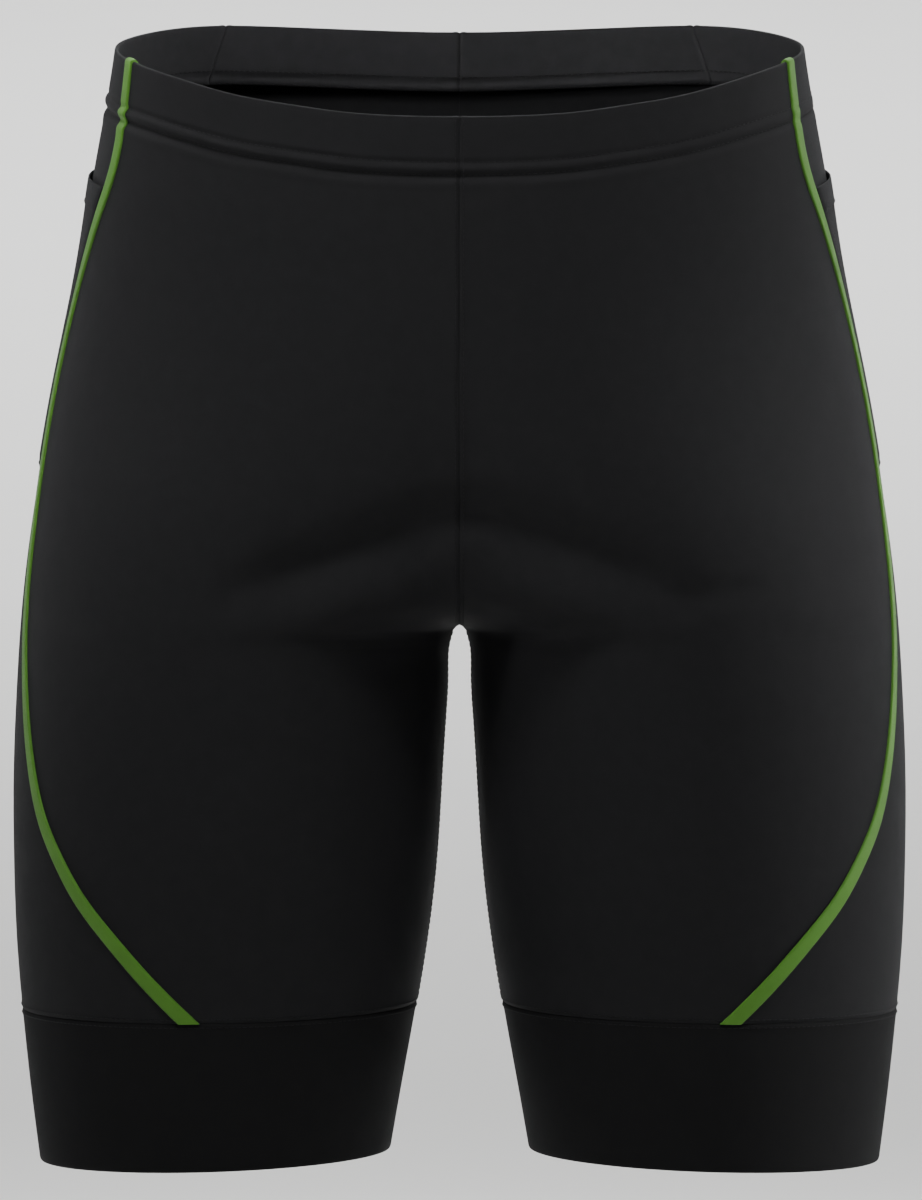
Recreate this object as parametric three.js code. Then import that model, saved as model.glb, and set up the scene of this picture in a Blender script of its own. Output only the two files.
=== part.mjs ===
// Compression shorts, filled out as worn, with no wearer inside.
// Millimetres. +Z is up, the front faces -Y and the wearer's left is +X.
// The origin is the middle of the waist opening, level with its side edges.
import * as THREE from 'three';

const CLOTH = 1.5;
const GAP = 0.3;
const STRIPE_WIDTH = 6.3;
const STRIPE_THICK = 1.0;
const CASING_THICK = 1.2;
const CUFF_SEAM = -412.8;
const CUFF_SEAM_TILT = -1.5;
const HEM = -477.5;
const HEM_TILT = -2.5;
const APEX = -249;

// Level sections of one half: out is the outer reach from the middle plane, mid is where the
// front and back stand furthest out, front and back are those depths, and square is the exponent
// of the section: 2 is an ellipse and more is squarer.
const SECTIONS = [
  { z: -480, out: 180.7, mid: 105.7, front: -75, back: 77.5, square: 2.0 },
  { z: -450, out: 184.5, mid: 105, front: -78, back: 81, square: 2.0 },
  { z: -420, out: 187.7, mid: 103.9, front: -82, back: 85, square: 2.0 },
  { z: -385, out: 190.6, mid: 102.5, front: -87, back: 90, square: 2.0 },
  { z: -350, out: 191.8, mid: 101.2, front: -92, back: 94.5, square: 2.0 },
  { z: -316, out: 192.0, mid: 100.5, front: -95.5, back: 101, square: 2.0 },
  { z: -275, out: 190.5, mid: 99, front: -100, back: 109, square: 2.0 },
  { z: -249, out: 188.9, mid: 96, front: -103, back: 116, square: 2.0 },
  { z: -225, out: 186.6, mid: 88, front: -105.5, back: 122.5, square: 2.0 },
  { z: -195, out: 182.5, mid: 72, front: -108.5, back: 127.5, square: 2.0 },
  { z: -150, out: 175.1, mid: 38, front: -111, back: 129, square: 2.0 },
  { z: -100, out: 165.0, mid: 12, front: -112, back: 123, square: 2.1 },
  { z: -50, out: 156.4, mid: 2, front: -111, back: 113, square: 2.3 },
  { z: 0, out: 147.9, mid: 0, front: -105.5, back: 105, square: 2.5 },
  { z: 12, out: 146.5, mid: 0, front: -104, back: 104, square: 2.5 },
];

// Inner reach of the same sections, closer together at the crotch. Below zero the two halves
// meet at the middle plane, and soft rounds the form there.
const INNER = [
  { z: -480, inn: 27.8, soft: 3 },
  { z: -450, inn: 22.6, soft: 3 },
  { z: -420, inn: 17.2, soft: 3 },
  { z: -385, inn: 11.5, soft: 3 },
  { z: -350, inn: 7.5, soft: 3 },
  { z: -316, inn: 5.4, soft: 3 },
  { z: -290, inn: 3.9, soft: 3 },
  { z: -270, inn: 3.0, soft: 3 },
  { z: -256, inn: 2.2, soft: 3 },
  { z: -251.5, inn: 1.2, soft: 3.2 },
  { z: -249, inn: 0, soft: 4 },
  { z: -245.5, inn: -8, soft: 6.5 },
  { z: -240, inn: -23, soft: 10 },
  { z: -232, inn: -41, soft: 14 },
  { z: -220, inn: -62, soft: 18 },
  { z: -195, inn: -94, soft: 22 },
  { z: -150, inn: -130, soft: 22 },
  { z: -100, inn: -146, soft: 17 },
  { z: -50, inn: -141, soft: 15 },
  { z: 0, inn: -134, soft: 14 },
  { z: 12, inn: -133, soft: 14 },
];

// Height of the waist edge round one half: -90 is the front middle, 0 the side, 90 the back.
const WAIST_EDGE = [
  { turn: -90, z: -22.6 },
  { turn: -80, z: -21.2 },
  { turn: -70, z: -18.2 },
  { turn: -60, z: -15.2 },
  { turn: -47, z: -10.2 },
  { turn: -30, z: -4.8 },
  { turn: 0, z: 0 },
  { turn: 20, z: 1.7 },
  { turn: 50, z: 3.9 },
  { turn: 70, z: 2.2 },
  { turn: 90, z: -0.2 },
];

// Turn of the striped seam between front and side panels, by height.
const STRIPE_SEAM = [
  { z: -420, turn: -87 },
  { z: -410, turn: -79.6 },
  { z: -395, turn: -69.2 },
  { z: -378, turn: -58.3 },
  { z: -362, turn: -48.1 },
  { z: -345, turn: -39.2 },
  { z: -329, turn: -31.9 },
  { z: -312, turn: -26.5 },
  { z: -279, turn: -19 },
  { z: -245, turn: -13.9 },
  { z: -211, turn: -11 },
  { z: -180, turn: -8.7 },
  { z: -150, turn: -7.7 },
  { z: -125, turn: -8 },
  { z: -99, turn: -10.6 },
  { z: -80, turn: -14.3 },
  { z: -67, turn: -17.4 },
  { z: -54, turn: -20.6 },
  { z: -35, turn: -22.3 },
  { z: -5, turn: -21.3 },
  { z: 12, turn: -20.6 },
];

// Turn of the seam between side and back panels, by height.
const BACK_SEAM = [
  { z: -420, turn: 58 },
  { z: -330, turn: 47 },
  { z: -200, turn: 37 },
  { z: -100, turn: 40 },
  { z: -22, turn: 49.5 },
  { z: 12, turn: 55 },
];

// Folds drawn as curves over the front (face -1) or the back (face 1), each through a start,
// a middle pull point and an end. A negative depth is a trough and a positive one a ridge.
// A fold is shallower and narrower towards its two ends.
const FOLDS = [
  // the two arms of the arch over the crotch, right then left
  { face: -1, x0: -97, z0: -226, x1: -46, z1: -212, x2: 8, z2: -190, depth: -7, width: 12 },
  { face: -1, x0: -8, z0: -190, x1: 48, z1: -205, x2: 96, z2: -230, depth: -7, width: 12 },
  // the two lobes under it, right then left
  { face: -1, x0: -72, z0: -238, x1: -34, z1: -222, x2: -6, z2: -228, depth: 3.0, width: 10 },
  { face: -1, x0: 6, z0: -228, x1: 32, z1: -222, x2: 72, z2: -240, depth: 3.0, width: 10 },
  // the hollow at the top of the left thigh and a faint line to the left hip
  { face: -1, x0: 92, z0: -238, x1: 54, z1: -243, x2: 16, z2: -248, depth: -1.4, width: 9 },
  { face: -1, x0: 86, z0: -229, x1: 106, z1: -227, x2: 126, z2: -224, depth: -1.3, width: 6 },
  // the long hollows down the thighs
  { face: -1, x0: -104, z0: -262, x1: -112, z1: -330, x2: -106, z2: -402, depth: -1.8, width: 18 },
  { face: -1, x0: 112, z0: -270, x1: 120, z1: -330, x2: 112, z2: -395, depth: -0.9, width: 22 },
  // under the seat
  { face: 1, x0: -96, z0: -246, x1: -56, z1: -252, x2: -14, z2: -238, depth: -2.6, width: 10 },
  { face: 1, x0: 90, z0: -243, x1: 52, z1: -251, x2: 12, z2: -236, depth: -2.4, width: 10 },
  // behind the knees
  { face: 1, x0: -130, z0: -372, x1: -96, z1: -380, x2: -58, z2: -368, depth: -1.4, width: 12 },
  { face: 1, x0: 126, z0: -378, x1: 98, z1: -384, x2: 62, z2: -376, depth: -1.2, width: 12 },
];

// The line under the waist casing, strongest at the front on the wearer's right.
const CASING_LINES = [
  { name: 'ridge', below: 22, depth: 0.6, width: 3.2 },
  { name: 'trough', below: 26.5, depth: -1.3, width: 2.6 },
];
const CASING_SHOWN = [
  { x: -200, share: 0.5 },
  { x: -130, share: 1 },
  { x: 20, share: 0.9 },
  { x: 75, share: 0.45 },
  { x: 200, share: 0.3 },
];

// Rows of each panel from the waist edge to the cuff seam. The upper rows keep a set distance
// below the edge; the lower ones are spread between the named levels on the side.
const EDGE_ROWS = [0, 12, 23, 26, 29.5, 42, 55.5];
const POCKET_BOTTOM = -181;
const SIDE_AT_APEX = -238;
const POCKET_ROWS = 9;
const SEAT_ROWS = 8;
const RISE_AT_POCKET = 0.62;
const LEG_ROWS = 11;
const FRONT_COLUMNS = 16;
const SIDE_COLUMNS = 5;
const BACK_COLUMNS = 14;
const CUFF_ROWS = 4;
const CUFF_COLUMNS = 40;

const radians = (turn) => (turn * Math.PI) / 180;
const cosine = (turn) => Math.cos(radians(turn));
const signedPower = (value, power) => Math.sign(value) * Math.abs(value) ** power;
const blend = (a, b, share) => a + (b - a) * share;

// Smooth curve through the rows of a table, as a natural cubic spline.
function curve(table, across, column) {
  const xs = table.map((row) => row[across]);
  const ys = table.map((row) => row[column]);
  const last = xs.length - 1;
  const bend = new Array(last + 1).fill(0);
  const ratio = new Array(last + 1).fill(0);
  for (let i = 1; i < last; i += 1) {
    const before = xs[i] - xs[i - 1];
    const after = xs[i + 1] - xs[i];
    const rate = (ys[i + 1] - ys[i]) / after - (ys[i] - ys[i - 1]) / before;
    const pivot = 2 * (before + after) - before * ratio[i - 1];
    ratio[i] = after / pivot;
    bend[i] = (6 * rate - before * bend[i - 1]) / pivot;
  }
  for (let i = last - 1; i > 0; i -= 1) bend[i] -= ratio[i] * bend[i + 1];
  return (x) => {
    let i = 0;
    while (i < last - 1 && x > xs[i + 1]) i += 1;
    const step = xs[i + 1] - xs[i];
    const u = xs[i + 1] - x;
    const v = x - xs[i];
    const arch = (bend[i] * u ** 3 + bend[i + 1] * v ** 3) / (6 * step);
    const left = (ys[i] / step - (bend[i] * step) / 6) * u;
    const right = (ys[i + 1] / step - (bend[i + 1] * step) / 6) * v;
    return arch + left + right;
  };
}

const outAt = curve(SECTIONS, 'z', 'out');
const innAt = curve(INNER, 'z', 'inn');
const softAt = curve(INNER, 'z', 'soft');
const midAt = curve(SECTIONS, 'z', 'mid');
const frontAt = curve(SECTIONS, 'z', 'front');
const backAt = curve(SECTIONS, 'z', 'back');
const squareAt = curve(SECTIONS, 'z', 'square');
const edgeCurve = curve(WAIST_EDGE, 'turn', 'z');
const stripeSeam = curve(STRIPE_SEAM, 'z', 'turn');
const backSeam = curve(BACK_SEAM, 'z', 'turn');
const casingShare = curve(CASING_SHOWN, 'x', 'share');
const edgeAt = (turn) => edgeCurve(Math.max(-90, Math.min(90, turn)));

const toFlat = (x, soft) => Math.sqrt(x * x + soft * soft) - soft;
const fromFlat = (flat, soft) => Math.sqrt(Math.max(flat, 0) * (Math.max(flat, 0) + 2 * soft));

function section(z) {
  const soft = softAt(z);
  const middle = toFlat(Math.max(midAt(z), 0), soft);
  return {
    soft,
    middle,
    outer: toFlat(outAt(z), soft) - middle,
    inner: middle - innAt(z),
    centre: (frontAt(z) + backAt(z)) / 2,
    depth: (backAt(z) - frontAt(z)) / 2,
    square: squareAt(z),
  };
}

// Point of the plain form at a height and a turn: 0 is the outer side, 180 the inseam.
function formPoint(z, turn) {
  const s = section(z);
  const across = signedPower(cosine(turn), 2 / s.square);
  const flat = s.middle + (across > 0 ? s.outer : s.inner) * across;
  const y = s.centre + s.depth * signedPower(Math.sin(radians(turn)), 2 / s.square);
  return new THREE.Vector3(Math.max(fromFlat(flat, s.soft), GAP / 2), y, z);
}

function formValue(x, y, z) {
  const s = section(z);
  const flat = toFlat(x, s.soft) - s.middle;
  const across = Math.abs(flat / (flat > 0 ? s.outer : s.inner)) ** s.square;
  return across + Math.abs((y - s.centre) / s.depth) ** s.square;
}

function formNormal(p) {
  const h = 0.2;
  const x = formValue(p.x + h, p.y, p.z) - formValue(p.x - h, p.y, p.z);
  const y = formValue(p.x, p.y + h, p.z) - formValue(p.x, p.y - h, p.z);
  const z = formValue(p.x, p.y, p.z + h) - formValue(p.x, p.y, p.z - h);
  return new THREE.Vector3(x, y, z).normalize();
}

// Turn at which the form reaches the middle plane, or nearly the inseam on the leg.
function endTurn(z) {
  const s = section(z);
  const seam = Math.asin((GAP / 2 / s.depth) ** (s.square / 2));
  const limit = 180 - (seam * 180) / Math.PI;
  const ratio = (toFlat(GAP / 2, s.soft) - s.middle) / s.inner;
  if (ratio <= -1) return limit;
  const turn = (Math.acos(signedPower(ratio, s.square / 2)) * 180) / Math.PI;
  return Math.min(turn, limit);
}

function bezier(fold, t) {
  const a = (1 - t) * (1 - t);
  const b = 2 * t * (1 - t);
  const c = t * t;
  return [a * fold.x0 + b * fold.x1 + c * fold.x2, a * fold.z0 + b * fold.z1 + c * fold.z2];
}

// Height of one fold at a point of the front or back, from its nearest place on the curve.
function oneFold(fold, x, z) {
  const pieces = 12;
  let nearest = Infinity;
  let place = 0;
  let [ax, az] = bezier(fold, 0);
  for (let i = 1; i <= pieces; i += 1) {
    const [bx, bz] = bezier(fold, i / pieces);
    const run = (bx - ax) ** 2 + (bz - az) ** 2;
    const along = Math.max(0, Math.min(1, ((x - ax) * (bx - ax) + (z - az) * (bz - az)) / run));
    const away = Math.hypot(x - blend(ax, bx, along), z - blend(az, bz, along));
    if (away < nearest) {
      nearest = away;
      place = (i - 1 + along) / pieces;
    }
    [ax, az] = [bx, bz];
  }
  const grown = Math.min(1, 0.35 + 2.6 * Math.min(place, 1 - place));
  const width = fold.width * (0.5 + 0.5 * grown);
  return fold.depth * grown * Math.exp(-((nearest / width) ** 2));
}

// Height of all folds over the plain form at one point; x is signed here.
function foldHeight(x, p, normal, turn) {
  let height = 0;
  for (const fold of FOLDS) {
    const facing = Math.max(0, Math.min(1, normal.y * fold.face * 2 + 0.2));
    height += oneFold(fold, x, p.z) * facing;
  }
  const below = edgeAt(turn) - p.z;
  for (const line of CASING_LINES) {
    const away = (below - line.below) / line.width;
    height += line.depth * Math.exp(-away * away) * casingShare(x);
  }
  return height;
}

// Cloth point on one side of the body (side 1 is the wearer's left), with its outward normal.
function clothPoint(z, turn, side) {
  const p = formPoint(z, turn);
  const normal = formNormal(p);
  p.addScaledVector(normal, foldHeight(side * p.x, p, normal, turn));
  p.x = Math.max(p.x, GAP / 2);
  return { p, normal, side };
}

// Heights of the rows along a rise, from the last edge row to the crotch point.
function riseLevels(direction, shares) {
  const samples = 1200;
  const top = edgeAt(90 * direction) - EDGE_ROWS.at(-1);
  const trail = [];
  let length = 0;
  let previous = null;
  for (let i = 0; i <= samples; i += 1) {
    const z = blend(top, APEX, 1 - (1 - i / samples) ** 2);
    const point = formPoint(z, direction * endTurn(z));
    if (previous) length += point.distanceTo(previous);
    trail.push({ z, length });
    previous = point;
  }
  return shares.map((share) => trail.find((mark) => mark.length >= length * share - 1e-9).z);
}

// One record a row: its height on the side, how much of the edge's dip it keeps, how far it
// tilts from the outer side to the inseam, and its height at the front and back ends.
function makeRows() {
  const rows = EDGE_ROWS.map((below) => ({
    side: -below, dip: 1, tilt: 0, front: edgeAt(-90) - below, back: edgeAt(90) - below,
  }));
  const lower = POCKET_ROWS + SEAT_ROWS;
  const shares = [];
  for (let i = 1; i <= lower; i += 1) {
    const seatShare = blend(RISE_AT_POCKET, 1, (i - POCKET_ROWS) / SEAT_ROWS);
    shares.push(i <= POCKET_ROWS ? (RISE_AT_POCKET * i) / POCKET_ROWS : seatShare);
  }
  const frontLevels = riseLevels(-1, shares);
  const backLevels = riseLevels(1, shares);
  for (let i = 1; i <= lower; i += 1) {
    const inPocket = blend(-EDGE_ROWS.at(-1), POCKET_BOTTOM, i / POCKET_ROWS);
    const inSeat = blend(POCKET_BOTTOM, SIDE_AT_APEX, (i - POCKET_ROWS) / SEAT_ROWS);
    const side = i <= POCKET_ROWS ? inPocket : inSeat;
    const [front, back] = [frontLevels[i - 1], backLevels[i - 1]];
    rows.push({ side, dip: 1 - i / lower, tilt: 0, front, back });
  }
  const seam = CUFF_SEAM + GAP / 2;
  for (let i = 1; i <= LEG_ROWS; i += 1) {
    const side = blend(SIDE_AT_APEX, seam, i / LEG_ROWS);
    const end = blend(APEX, seam, i / LEG_ROWS);
    rows.push({ side, dip: 0, tilt: (CUFF_SEAM_TILT * i) / LEG_ROWS, front: end, back: end });
  }
  return rows;
}
const ROWS = makeRows();

// Turn that covers a width beside a slanting seam, at one height.
function turnForWidth(z, seam, width) {
  const here = formPoint(z, seam(z));
  const across = here.distanceTo(formPoint(z, seam(z) + 0.5)) / 0.5;
  const slope = across * (seam(z + 0.5) - seam(z - 0.5));
  return (width * Math.sqrt(1 + slope * slope)) / across;
}

// Finds height and turn of a column in a row: pick gives its turn from a height.
function placeInRow(row, direction, side, pick) {
  let z = row.side;
  let turn = 0;
  for (let i = 0; i < 6; i += 1) {
    turn = pick(z);
    const seam = direction < 0 ? stripeSeam(z) : backSeam(z);
    const end = direction * endTurn(z);
    const share = direction === 0 ? 0 : Math.max(0, (turn - seam) / (end - seam));
    const level = row[direction < 0 ? 'front' : 'back'];
    const drop = level - row.side - edgeAt(90 * direction) * row.dip;
    z = row.side + edgeAt(turn) * row.dip + row.tilt * cosine(turn);
    if (direction !== 0) z += drop * share * share;
  }
  return clothPoint(z, turn, side);
}

function endPoint(row, direction, side) {
  const z = (direction < 0 ? row.front : row.back) - row.tilt;
  return clothPoint(z, direction * endTurn(z), side);
}

function frontGrid(side) {
  return ROWS.map((row) => {
    const near = (z) => stripeSeam(z) - turnForWidth(z, stripeSeam, GAP / 2);
    const edge = (z) => stripeSeam(z) - turnForWidth(z, stripeSeam, STRIPE_WIDTH / 2);
    const line = [placeInRow(row, -1, side, near), placeInRow(row, -1, side, edge)];
    for (let j = 1; j < FRONT_COLUMNS; j += 1) {
      const share = j / FRONT_COLUMNS;
      line.push(placeInRow(row, -1, side, (z) => blend(edge(z), -endTurn(z), share)));
    }
    line.push(endPoint(row, -1, side));
    return line;
  });
}

function sideGrid(side) {
  return ROWS.map((row) => {
    const beside = (z, width) => stripeSeam(z) + turnForWidth(z, stripeSeam, width);
    const last = (z) => backSeam(z) - turnForWidth(z, backSeam, GAP / 2);
    const widths = [GAP / 2, STRIPE_WIDTH / 2, STRIPE_WIDTH / 2 + GAP];
    const line = widths.map((width) => placeInRow(row, 0, side, (z) => beside(z, width)));
    for (let j = 1; j <= SIDE_COLUMNS; j += 1) {
      const share = j / SIDE_COLUMNS;
      line.push(placeInRow(row, 0, side, (z) => blend(beside(z, widths[2]), last(z), share)));
    }
    return line;
  });
}

function backGrid(side) {
  return ROWS.map((row) => {
    const first = (z) => backSeam(z) + turnForWidth(z, backSeam, GAP / 2);
    const line = [];
    for (let j = 0; j < BACK_COLUMNS; j += 1) {
      const share = j / BACK_COLUMNS;
      line.push(placeInRow(row, 1, side, (z) => blend(first(z), endTurn(z), share)));
    }
    line.push(endPoint(row, 1, side));
    return line;
  });
}

function cuffGrid(side) {
  const lines = [];
  for (let i = 0; i <= CUFF_ROWS; i += 1) {
    const middle = blend(CUFF_SEAM - GAP / 2, HEM, i / CUFF_ROWS);
    const tilt = blend(CUFF_SEAM_TILT, HEM_TILT, i / CUFF_ROWS);
    const line = [];
    for (let j = 0; j < CUFF_COLUMNS; j += 1) {
      const turn = 180 - (360 * j) / CUFF_COLUMNS;
      line.push(clothPoint(middle + tilt * cosine(turn), turn, side));
    }
    lines.push(line);
  }
  return lines;
}

const lifted = (spot, lift) => {
  const q = spot.p.clone().addScaledVector(spot.normal, lift);
  return [Math.max(q.x, GAP / 2) * spot.side, q.y, q.z];
};

// Closed wall from a grid of cloth points: outer skin, inner skin and the rims between them.
// Each cell of both skins is split along the shorter diagonal of the outer one.
function wall(grid, lift, thick, closed) {
  const rows = grid.length;
  const columns = grid[0].length;
  const positions = [];
  for (const line of grid) for (const spot of line) positions.push(...lifted(spot, lift));
  for (const line of grid) for (const spot of line) positions.push(...lifted(spot, lift - thick));
  const at = (layer, i, j) => layer * rows * columns + i * columns + (j % columns);
  const faces = [];
  const quad = (a, b, c, d) => faces.push(a, b, c, a, c, d);
  const span = (a, b) => {
    const [dx, dy, dz] = [0, 1, 2].map((k) => positions[3 * a + k] - positions[3 * b + k]);
    return dx * dx + dy * dy + dz * dz;
  };
  const spans = closed ? columns : columns - 1;
  for (let i = 0; i < rows - 1; i += 1) {
    for (let j = 0; j < spans; j += 1) {
      const outer = [at(0, i, j), at(0, i + 1, j), at(0, i + 1, j + 1), at(0, i, j + 1)];
      const inner = [at(1, i, j), at(1, i, j + 1), at(1, i + 1, j + 1), at(1, i + 1, j)];
      if (span(outer[0], outer[2]) > span(outer[1], outer[3])) {
        outer.push(outer.shift());
        inner.unshift(inner.pop());
      }
      quad(...outer);
      quad(...inner);
    }
  }
  for (let j = 0; j < spans; j += 1) {
    quad(at(0, 0, j), at(0, 0, j + 1), at(1, 0, j + 1), at(1, 0, j));
    quad(at(0, rows - 1, j), at(1, rows - 1, j), at(1, rows - 1, j + 1), at(0, rows - 1, j + 1));
  }
  if (!closed) {
    const end = columns - 1;
    for (let i = 0; i < rows - 1; i += 1) {
      quad(at(0, i, 0), at(1, i, 0), at(1, i + 1, 0), at(0, i + 1, 0));
      quad(at(0, i, end), at(0, i + 1, end), at(1, i + 1, end), at(1, i, end));
    }
  }
  return { positions, faces };
}

// Turns the faces outward where the grid runs the other way round.
function toGeometry(shape) {
  const { positions, faces } = shape;
  const corner = (k) => new THREE.Vector3().fromArray(positions, 3 * k);
  let volume = 0;
  for (let i = 0; i < faces.length; i += 3) {
    const b = corner(faces[i + 1]);
    volume += corner(faces[i]).dot(b.cross(corner(faces[i + 2])));
  }
  if (volume < 0) faces.reverse();
  const geometry = new THREE.BufferGeometry();
  geometry.setAttribute('position', new THREE.Float32BufferAttribute(positions, 3));
  geometry.setIndex(faces);
  geometry.computeVertexNormals();
  return geometry;
}

const shorts = new THREE.Group();
shorts.name = 'compression_shorts';

function addNode(name, shape, colour) {
  const material = new THREE.MeshStandardMaterial({ color: colour, roughness: 0.7 });
  const mesh = new THREE.Mesh(toGeometry(shape), material);
  mesh.name = name;
  shorts.add(mesh);
}

const BLACK_KNIT = 0x2c2c2e;
const CUFF_KNIT = 0x222224;
const GREEN = 0x4f9a1e;

// The stripe lies over the seam, from a column of the front to one of the side panel.
function stripeGrid(front, sidePanel) {
  return ROWS.map((_, i) => [front[i][1], sidePanel[i][1]]);
}

// The pocket bag lies on the side panel from its mouth row down to its bottom row.
function pocketGrid(sidePanel) {
  const mouth = EDGE_ROWS.length - 1;
  return sidePanel.slice(mouth, mouth + POCKET_ROWS + 1).map((line) => line.slice(2));
}

// Half of the casing ring: the top rows of all panels, from the back middle to the front.
function casingHalf(front, sidePanel, back) {
  const rows = EDGE_ROWS.indexOf(26) + 1;
  const lines = [];
  for (let i = 0; i < rows; i += 1) {
    const seat = [...back[i]].reverse();
    const flank = [...sidePanel[i]].reverse();
    lines.push([...seat, ...flank, ...front[i]]);
  }
  return lines;
}

const halves = {};
for (const [word, side] of [['left', 1], ['right', -1]]) {
  const front = frontGrid(side);
  const sidePanel = sideGrid(side);
  const back = backGrid(side);
  addNode(`front_${word}`, wall(front, 0, CLOTH, false), BLACK_KNIT);
  addNode(`side_${word}`, wall(sidePanel, 0, CLOTH, false), BLACK_KNIT);
  addNode(`back_${word}`, wall(back, 0, CLOTH, false), BLACK_KNIT);
  addNode(`cuff_${word}`, wall(cuffGrid(side), 0, CLOTH, true), CUFF_KNIT);
  addNode(`pocket_${word}`, wall(pocketGrid(sidePanel), GAP + CLOTH, CLOTH, false), BLACK_KNIT);
  const strip = stripeGrid(front, sidePanel);
  addNode(`stripe_${word}`, wall(strip, GAP + STRIPE_THICK, STRIPE_THICK, false), GREEN);
  halves[word] = casingHalf(front, sidePanel, back);
}
const ring = halves.left.map((line, i) => [...line, ...[...halves.right[i]].reverse()]);
addNode('waist_casing', wall(ring, -CLOTH - GAP, CASING_THICK, true), BLACK_KNIT);

export default shorts;
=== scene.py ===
import math
import bpy
import numpy as np
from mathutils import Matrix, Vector


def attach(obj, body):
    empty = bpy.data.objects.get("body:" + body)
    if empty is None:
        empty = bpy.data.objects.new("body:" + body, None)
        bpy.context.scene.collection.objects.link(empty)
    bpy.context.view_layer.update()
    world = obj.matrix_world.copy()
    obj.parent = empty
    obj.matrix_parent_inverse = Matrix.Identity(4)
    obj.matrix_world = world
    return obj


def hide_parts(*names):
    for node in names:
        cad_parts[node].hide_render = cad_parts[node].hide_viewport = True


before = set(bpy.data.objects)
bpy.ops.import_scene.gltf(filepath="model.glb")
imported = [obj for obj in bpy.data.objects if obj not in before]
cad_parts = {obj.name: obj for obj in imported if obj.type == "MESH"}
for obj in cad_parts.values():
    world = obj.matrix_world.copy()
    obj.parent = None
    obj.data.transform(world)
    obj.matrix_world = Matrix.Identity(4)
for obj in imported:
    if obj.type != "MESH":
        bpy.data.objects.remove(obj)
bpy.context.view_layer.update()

# Compression shorts. The forms are worked out in millimetres and turned to metres in the meshes.
# The tables repeat those of the solids' source: level sections of one half, the waist edge, the
# seams and the folds.

SIDES = (("left", 1), ("right", -1))
CUFF_SEAM, CUFF_SEAM_TILT = -412.8, -1.5
HEM, HEM_TILT = -477.5, -2.5
APEX = -249                # height of the crotch point
POCKET_BELOW, POCKET_BOTTOM = 55.5, -181
SIDE_AT_APEX = -238        # height on the side of the row that runs through the crotch point
POCKET_ROWS, SEAT_ROWS, LEG_ROWS = 9, 8, 11
RISE_AT_POCKET = 0.62      # share of the rise above the row of the pocket's bottom
APEX_ROW = POCKET_ROWS + SEAT_ROWS
SEAM_ROW = APEX_ROW + LEG_ROWS
POCKET_ROW_STEP = 13.9     # length of a row on the pocket
LEG_LENGTH = SIDE_AT_APEX - CUFF_SEAM
CUFF_ROW_STEP = 14.9       # length of the row over the cuff seam, at the inseam
CASING = 25.5              # depth of the turned-in flap
FOLD = 0.95                # radius of the fold over the waist edge
SHEET = 0.6                # thickness of the cloth
NO_SEAM = 99.0             # a distance from a seam at which its relief is gone
LINING_PAINTED_LIGHT = 2.8          # painted light: how much lighter the turned-in flap is painted, standing in for the light that falls on the inside of the back
POCKET_GAPE = 0.6          # how far the pocket's mouth stands off the panel at its middle

# z, out, mid, front, back, square
SECTIONS = np.array((
    (-480, 180.7, 105.7, -75, 77.5, 2.0),
    (-450, 184.5, 105, -78, 81, 2.0),
    (-420, 187.7, 103.9, -82, 85, 2.0),
    (-385, 190.6, 102.5, -87, 90, 2.0),
    (-350, 191.8, 101.2, -92, 94.5, 2.0),
    (-316, 192.0, 100.5, -95.5, 101, 2.0),
    (-275, 190.5, 99, -100, 109, 2.0),
    (-249, 188.9, 96, -103, 116, 2.0),
    (-225, 186.6, 88, -105.5, 122.5, 2.0),
    (-195, 182.5, 72, -108.5, 127.5, 2.0),
    (-150, 175.1, 38, -111, 129, 2.0),
    (-100, 165.0, 12, -112, 123, 2.1),
    (-50, 156.4, 2, -111, 113, 2.3),
    (0, 147.9, 0, -105.5, 105, 2.5),
    (12, 146.5, 0, -104, 104, 2.5),
))
# z, inn, soft
INNER = np.array((
    (-480, 27.8, 3), (-450, 22.6, 3), (-420, 17.2, 3), (-385, 11.5, 3), (-350, 7.5, 3),
    (-316, 5.4, 3), (-290, 3.9, 3), (-270, 3.0, 3), (-256, 2.2, 3), (-251.5, 1.2, 3.2),
    (-249, 0, 4), (-245.5, -8, 6.5), (-240, -23, 10), (-232, -41, 14), (-220, -62, 18),
    (-195, -94, 22), (-150, -130, 22), (-100, -146, 17), (-50, -141, 15), (0, -134, 14),
    (12, -133, 14),
))
# turn, z: -90 is the front middle, 0 the side, 90 the back middle
WAIST_EDGE = np.array((
    (-90, -22.6), (-80, -21.2), (-70, -18.2), (-60, -15.2), (-47, -10.2), (-30, -4.8), (0, 0),
    (20, 1.7), (50, 3.9), (70, 2.2), (90, -0.2),
))
# z, turn
STRIPE_SEAM = np.array((
    (-420, -87), (-410, -79.6), (-395, -69.2), (-378, -58.3), (-362, -48.1), (-345, -39.2),
    (-329, -31.9), (-312, -26.5), (-279, -19), (-245, -13.9), (-211, -11), (-180, -8.7),
    (-150, -7.7), (-125, -8), (-99, -10.6), (-80, -14.3), (-67, -17.4), (-54, -20.6),
    (-35, -22.3), (-5, -21.3), (12, -20.6),
))
BACK_SEAM = np.array(((-420, 58), (-330, 47), (-200, 37), (-100, 40), (-22, 49.5), (12, 55)))
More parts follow.
